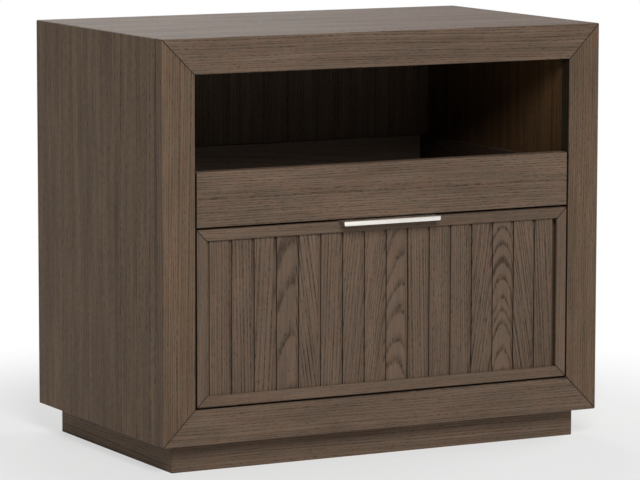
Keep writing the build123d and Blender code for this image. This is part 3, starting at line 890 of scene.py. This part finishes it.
def slatWood(low, high):
    # every slat reads its own board's values from the attributes that its point carried
    def tune(tree, grain, place):
        def own(name):
            made = tree.nodes.new("ShaderNodeAttribute")
            made.attribute_name = name
            return made.outputs

        x, y, z = split(tree, place)
        x = calc(tree, "SUBTRACT", x, own("slatMiddle")["Fac"])
        tree.links.new(join(tree, x, y, z), grain.inputs["Place"])
        pith, lean = split(tree, own("slatPith")["Vector"]), split(tree, own("slatLean")["Vector"])
        tree.links.new(own("slatBoard")["Fac"], grain.inputs["Board"])
        tree.links.new(pith[0], grain.inputs["Pith Across"])
        tree.links.new(pith[1], grain.inputs["Pith Behind"])
        tree.links.new(pith[2], grain.inputs["Ring Contrast"])
        tree.links.new(lean[0], grain.inputs["Lean Across"])
        tree.links.new(lean[1], grain.inputs["Lean Behind"])
        tree.links.new(lean[2], grain.inputs["Ring Width"])

    def sides(tree, place):
        # painted shade on the grooves' walls, which lie between the face and the tongue
        _, depth, _ = split(tree, place)
        start, full, end = (slats["sizes"]["Groove Depth"] * share for share in slats["paintedShadeWall"])
        wall = remap(tree, depth, start, full, 0, 1)
        return calc(tree, "MULTIPLY", wall, calc(tree, "LESS_THAN", depth, end))

    middle = Vector((0, low.y, (low.z + high.z) / 2))
    return woodMaterial("greyOakSlats", "greyOak", "z", "y", middle, 0, {}, tune, sides)


def makeSlats():
    low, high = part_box("lower_front_slats")
    count = len(slats["boards"])
    middles = [(i - (count - 1) / 2) * slats["sizes"]["Pitch"] for i in range(count)]
    holder = pointCloud("slatPoints", [(x, low.y, low.z) for x in middles], {
        "slatMiddle": ("FLOAT", middles),
        "slatBoard": ("FLOAT", [slats["firstBoard"] + i for i in range(count)]),
        "slatPith": ("FLOAT_VECTOR", [(row[0] / 1000, row[1] / 1000, row[5]) for row in slats["boards"]]),
        "slatLean": ("FLOAT_VECTOR", [(row[2], row[3], row[4] / 1000) for row in slats["boards"]]),
    })
    values = {**slats["sizes"], "Height": high.z - low.z, "Material": slatWood(low, high)}
    attach(grow("slats", holder, slatTree(), values), "lower_drawer", "brushed_oak", "lower_front_slats")


# Pan-head screws with a cross recess, one mesh for each body

screws = {
    "sides": 14,
    "dome": ((1.0, 0.45), (0.82, 0.82), (0.5, 0.96)),    # shares of the head's radius and height
    "neck": -0.0003,    # the shaft starts here and is drawn out to each screw's own length below
    "seed": 5,
    "endReach": 0.0001,    # corners this near to a CAD screw's end belong to that end
    "sizes": {
        "Head Radius": 0.0028,
        "Head Height": 0.0013,
        "Shaft Radius": 0.0014,
        "Tip Length": 0.0025,
        "Cross Width": 0.0008,
        "Cross Length": 0.0032,
        "Cross Depth": 0.0007,
    },
    "bodies": {
        "caseScrews": ("root", ("back_panel_screws", "runner_screws")),
        "upperDrawerScrews": ("upper_drawer", ("upper_drawer_screws",)),
        "lowerDrawerScrews": ("lower_drawer", ("lower_drawer_screws", "pull_screws")),
    },
}


def screwTree():
    tree, given, out = geometryGroup("screwSet", screws["sizes"])
    head, high, shaft = given["Head Radius"], given["Head Height"], given["Shaft Radius"]
    neck = screws["neck"]
    tip = calc(tree, "SUBTRACT", neck, given["Tip Length"])

    def share(value, part):
        return calc(tree, "MULTIPLY", value, part)

    outline = [(0.0, tip), (shaft, neck), (shaft, 0.0), (head, 0.0)]
    outline += [(share(head, across), share(high, up)) for across, up in screws["dome"]]
    solid = lathe(tree, outline + [(0.0, high)], screws["sides"])
    cut = geo(tree, "MeshBoolean", operation="DIFFERENCE", solver="EXACT")
    tree.links.new(solid, cut.inputs["Mesh 1"])
    for x, y in (("Cross Length", "Cross Width"), ("Cross Width", "Cross Length")):
        bar = geo(tree, "MeshCube")
        tree.links.new(join(tree, given[x], given[y], share(given["Cross Depth"], 2.0)), bar.inputs["Size"])
        tree.links.new(moved(tree, bar.outputs[0], offset=join(tree, 0.0, 0.0, high)), cut.inputs["Mesh 2"])
    _, _, z = split(tree, geo(tree, "InputPosition").outputs[0])
    drawn = stored(tree, cut.outputs[0], "drawn", "FLOAT", calc(tree, "LESS_THAN", z, neck / 2))
    turn = tree.nodes.new("FunctionNodeAlignRotationToVector")
    turn.axis = "Z"
    tree.links.new(named(tree, "outward", "FLOAT_VECTOR"), turn.inputs["Vector"])
    driven = geo(tree, "RotateInstances")
    tree.links.new(onPoints(tree, given["Geometry"], drawn, turn.outputs[0]), driven.inputs["Instances"])
    chance = tree.nodes.new("FunctionNodeRandomValue")
    chance.data_type = "FLOAT"
    chance.inputs["Max"].default_value = math.pi / 2
    chance.inputs["Seed"].default_value = screws["seed"]
    tree.links.new(join(tree, 0.0, 0.0, chance.outputs["Value"]), driven.inputs["Rotation"])
    real = geo(tree, "RealizeInstances")
    tree.links.new(driven.outputs[0], real.inputs[0])
    made = calc(tree, "SUBTRACT", given["Tip Length"], neck)
    missing = calc(tree, "SUBTRACT", made, named(tree, "length", "FLOAT"))
    pulled = calc(tree, "MULTIPLY", named(tree, "drawn", "FLOAT"), missing)
    offset = measure(tree, "SCALE", named(tree, "outward", "FLOAT_VECTOR"), pulled)
    finishTree(tree, out, moved(tree, real.outputs[0], offset=offset), given["Material"])
    return tree


def screwPlaces(name):
    # underside of each head, its outward direction and the length of its shaft
    found = []
    for places in islands(name):
        low, high = extent(places)
        axis = max(range(3), key=lambda i: high[i] - low[i])
        side = (axis + 1) % 3
        widths = []
        for end in (low[axis], high[axis]):
            near = [place[side] for place in places if abs(place[axis] - end) < screws["endReach"]]
            widths.append(max(near) - min(near))
        sign = 1 if widths[1] > widths[0] else -1
        outward = Vector([sign if i == axis else 0 for i in range(3)])
        middle = (low + high) / 2
        middle[axis] = (high if sign > 0 else low)[axis] - sign * screws["sizes"]["Head Height"]
        found.append((middle, outward, high[axis] - low[axis] - screws["sizes"]["Head Height"]))
    return found


def makeScrews(material):
    tree = screwTree()
    for label, (body, replaced) in screws["bodies"].items():
        found = [row for name in replaced for row in screwPlaces(name)]
        holder = pointCloud(label + "Points", [row[0] for row in found], {
            "outward": ("FLOAT_VECTOR", [row[1] for row in found]),
            "length": ("FLOAT", [row[2] for row in found]),
        })
        piece = grow(label, holder, tree, {**screws["sizes"], "Material": material})
        smoothAll(piece)
        attach(piece, body, "screw_steel", *replaced)


# Levelling glides: a round foot on a stem

glides = {
    "sides": 28,
    "sizes": {
        "Foot Radius": 0.0125,
        "Foot Height": 0.005,
        "Foot Bevel": 0.0012,
        "Neck Radius": 0.0060,
        "Neck Height": 0.0025,
        "Stem Radius": 0.0036,
    },
}


def glideTree(high):
    tree, given, out = geometryGroup("glideSet", glides["sizes"])
    foot, bevel, top = given["Foot Radius"], given["Foot Bevel"], given["Foot Height"]
    collar = calc(tree, "ADD", top, given["Neck Height"])
    outline = [(0.0, 0.0), (calc(tree, "SUBTRACT", foot, bevel), 0.0), (foot, bevel),
               (foot, calc(tree, "SUBTRACT", top, bevel)), (calc(tree, "SUBTRACT", foot, bevel), top),
               (given["Neck Radius"], top), (given["Neck Radius"], collar), (given["Stem Radius"], collar),
               (given["Stem Radius"], high), (0.0, high)]
    glide = lathe(tree, outline, glides["sides"])
    finishTree(tree, out, onPoints(tree, given["Geometry"], glide), given["Material"])
    return tree


def makeGlides(material):
    feet = [extent(places) for places in islands("levelling_glides")]
    middles = [((low.x + high.x) / 2, (low.y + high.y) / 2, low.z) for low, high in feet]
    holder = pointCloud("glidePoints", middles)
    piece = grow("glides", holder, glideTree(feet[0][1].z), {**glides["sizes"], "Material": material})
    smoothAll(piece)
    attach(piece, "root", "black_plastic", "levelling_glides")


# Ball cages of the runners: plastic strips that hold a row of steel balls

cages = {
    "balls": 9,
    "ballRadius": 0.0016,
    "ballSubdivisions": 2,
    "endMargin": 0.006,
    "stripThickness": 0.0016,
    "cornerRound": 0.0004,
    "cornerSteps": 2,
}


def cageTree():
    tree, given, out = geometryGroup("cageStrips", {
        "Length": 0.09, "Width": 0.004, "Thickness": cages["stripThickness"]})
    bar = geo(tree, "MeshCube")
    tree.links.new(join(tree, given["Width"], given["Length"], given["Thickness"]), bar.inputs["Size"])
    finishTree(tree, out, onPoints(tree, given["Geometry"], bar.outputs[0]), given["Material"])
    return tree


def ballTree():
    tree, given, out = geometryGroup("cageBalls", {"Reach": 0.04, "Radius": cages["ballRadius"]})
    row = geo(tree, "MeshLine", mode="END_POINTS")
    row.inputs["Count"].default_value = cages["balls"]
    start = join(tree, 0.0, calc(tree, "MULTIPLY", given["Reach"], -1.0), 0.0)
    tree.links.new(start, row.inputs["Start Location"])
    tree.links.new(join(tree, 0.0, given["Reach"], 0.0), row.inputs["Offset"])
    ball = geo(tree, "MeshIcoSphere")
    ball.inputs["Subdivisions"].default_value = cages["ballSubdivisions"]
    tree.links.new(given["Radius"], ball.inputs["Radius"])
    filled = onPoints(tree, row.outputs[0], ball.outputs[0])
    finishTree(tree, out, onPoints(tree, given["Geometry"], filled), given["Material"])
    return tree


def makeCages(material, steel):
    strips, balls = cageTree(), ballTree()
    for drawer in ("upper", "lower"):
        name, body = f"{drawer}_runner_ball_cages", f"{drawer}_runner_middles"
        found = [extent(places) for places in islands(name)]
        middles = [(low + high) / 2 for low, high in found]
        size = found[0][1] - found[0][0]
        piece = grow(f"{drawer}RunnerCages", pointCloud("cagePoints", middles), strips, {
            "Length": size.y, "Width": size.x, "Thickness": min(size.z, cages["stripThickness"]),
            "Material": material})
        eased = piece.modifiers.new("eased", "BEVEL")
        eased.width = cages["cornerRound"]
        eased.segments = cages["cornerSteps"]
        attach(piece, body, "black_plastic", name)
        piece = grow(f"{drawer}RunnerBalls", pointCloud("ballPoints", middles), balls, {
            "Reach": size.y / 2 - cages["endMargin"], "Radius": cages["ballRadius"], "Material": steel})
        piece.data.shade_smooth()
        attach(piece, body, "runner_steel")


# Tab pull: one strip of sheet that bends down behind the drawer's front and again before its face

pull = {
    "length": 0.157,
    "gauge": 0.0015,
    "lip": 0.0066,
    "bendRadius": 0.0016,     # of the sheet's outer side
    "bendSteps": 6,
    "tipRound": 0.0022,       # plan of the lip's corners
    "tipSteps": 5,
    "edgeRound": 0.0003,
    "edgeSteps": 3,
    "easedFrom": 50,          # degrees: sharper edges than this are eased
    "smoothBelow": 40,
}


def pullPath():
    # outer side of the sheet in Y and Z, from the flange's end to the lip's end
    low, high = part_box("tab_pull")
    radius, top, front, rear = pull["bendRadius"], high.z, low.y, high.y

    def bend(y, z, start, end):
        steps = pull["bendSteps"]
        turns = [math.radians(start + (end - start) * i / steps) for i in range(steps + 1)]
        return [(y + radius * math.cos(turn), z + radius * math.sin(turn)) for turn in turns]

    path = [(rear, low.z)]
    path += bend(rear - radius, top - radius, 0, 90)
    path += bend(front + radius, top - radius, 90, 180)
    end = top - pull["lip"]
    for i in range(pull["tipSteps"] + 1):
        turn = math.pi / 2 * i / pull["tipSteps"]
        path.append((front, end + pull["tipRound"] * (1 - math.sin(turn))))
    return path, end


def makePull(material):
    path, end = pullPath()
    reach = pull["tipRound"]
    shape = bmesh.new()
    rows = []
    for i, (y, z) in enumerate(path):
        half = pull["length"] / 2
        if i > len(path) - 2 - pull["tipSteps"] and z < end + reach:
            half -= reach - math.sqrt(max(0.0, reach ** 2 - (end + reach - z) ** 2))
        rows.append([shape.verts.new((side * half, y, z)) for side in (-1, 1)])
    for lower, upper in zip(rows, rows[1:]):
        shape.faces.new((lower[0], lower[1], upper[1], upper[0]))
    bmesh.ops.recalc_face_normals(shape, faces=shape.faces)
    mesh = bpy.data.meshes.new("pull")
    shape.to_mesh(mesh)
    shape.free()
    if mesh.polygons[len(mesh.polygons) // 2].normal.z < 0:
        mesh.flip_normals()
    piece = bpy.data.objects.new("pull", mesh)
    scene.collection.objects.link(piece)
    mesh.materials.append(material)
    sheet = piece.modifiers.new("sheet", "SOLIDIFY")
    sheet.thickness = pull["gauge"]
    sheet.offset = -1
    sheet.use_even_offset = True
    eased = piece.modifiers.new("eased", "BEVEL")
    eased.width = pull["edgeRound"]
    eased.segments = pull["edgeSteps"]
    eased.limit_method = "ANGLE"
    eased.angle_limit = math.radians(pull["easedFrom"])
    smoothAll(piece, pull["smoothBelow"])
    attach(piece, "lower_drawer", "satin_nickel", "tab_pull")


makeCamera()
makeStudio()
print("camera and studio made")
woodGroup, jointStainAndGapShadeGroup = makeWoodGroup(), makeJointGroup()
finishWood()
print("wood finished")
zinc, screwZinc, nickel, ballSteel = (
    metalMaterial(name) for name in ("zincPlate", "screwZinc", "satinNickel", "ballSteel"))
blackPlastic = plasticMaterial()
for name in nodes:
    if name.endswith(("_outer", "_middle", "_inner")):
        finishNode(name, zinc)
makeSlats()
print("slats made")
makeScrews(screwZinc)
makeGlides(blackPlastic)
makeCages(blackPlastic, ballSteel)
makePull(nickel)
print("fittings made")

scene.view_settings.view_transform = "Standard"
